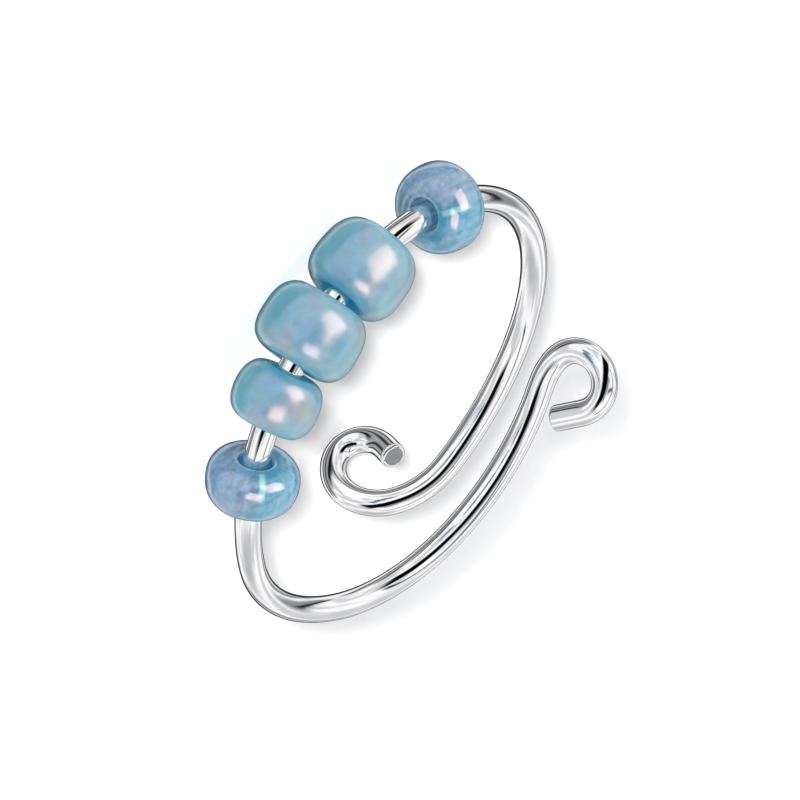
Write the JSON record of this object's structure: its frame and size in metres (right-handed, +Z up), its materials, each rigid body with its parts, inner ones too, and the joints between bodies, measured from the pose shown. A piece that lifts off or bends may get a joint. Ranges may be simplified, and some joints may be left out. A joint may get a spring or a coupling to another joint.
{
  "type": "spinner ring",
  "caption": "Open spinner ring of polished round wire whose two ends pass side by side and roll into scrolls, with loose blue glass beads that turn on the wire.",
  "frame": {"origin": "on the floor, under the middle of the part's box as the ring lies on its side", "axes": "+Z up; +X from the beads towards the two passing ends; +Y towards the first clear bead"},
  "size_m": [0.0226, 0.0196, 0.0095],
  "materials": {
    "polished_silver_plate": "mirror polished",
    "clear_blue_glass": "gloss with a faint lilac lustre",
    "pearly_blue_glass": "satin pearl lustre"
  },
  "bodies": {
    "ring": {"ring_wire": "polished_silver_plate"},
    "bead_1": {"bead_1": "clear_blue_glass"},
    "bead_2": {"bead_2": "pearly_blue_glass"},
    "bead_3": {"bead_3": "pearly_blue_glass"},
    "bead_4": {"bead_4": "pearly_blue_glass"},
    "bead_5": {"bead_5": "clear_blue_glass"}
  },
  "joints": [
    {"name": "bead_1_spin", "type": "hinge", "parent": "ring", "child": "bead_1", "pos_m": [-0.00624, 0.00662, 0.00227], "axis": [-0.707, -0.6994, -0.1045], "continuous": true},
    {"name": "bead_2_spin", "type": "hinge", "parent": "ring", "child": "bead_2", "pos_m": [-0.00855, 0.00244, 0.00207], "axis": [-0.117, -0.992, 0.0481], "continuous": true},
    {"name": "bead_3_spin", "type": "hinge", "parent": "ring", "child": "bead_3", "pos_m": [-0.0091, -0.00094, 0.0022], "axis": [0.0915, -0.9913, 0.0943], "continuous": true},
    {"name": "bead_4_spin", "type": "hinge", "parent": "ring", "child": "bead_4", "pos_m": [-0.00822, -0.00387, 0.00262], "axis": [0.2977, -0.9448, 0.1365], "continuous": true},
    {"name": "bead_5_spin", "type": "hinge", "parent": "ring", "child": "bead_5", "pos_m": [-0.00596, -0.00684, 0.00334], "axis": [0.7313, -0.6488, 0.2105], "continuous": true}
  ]
}
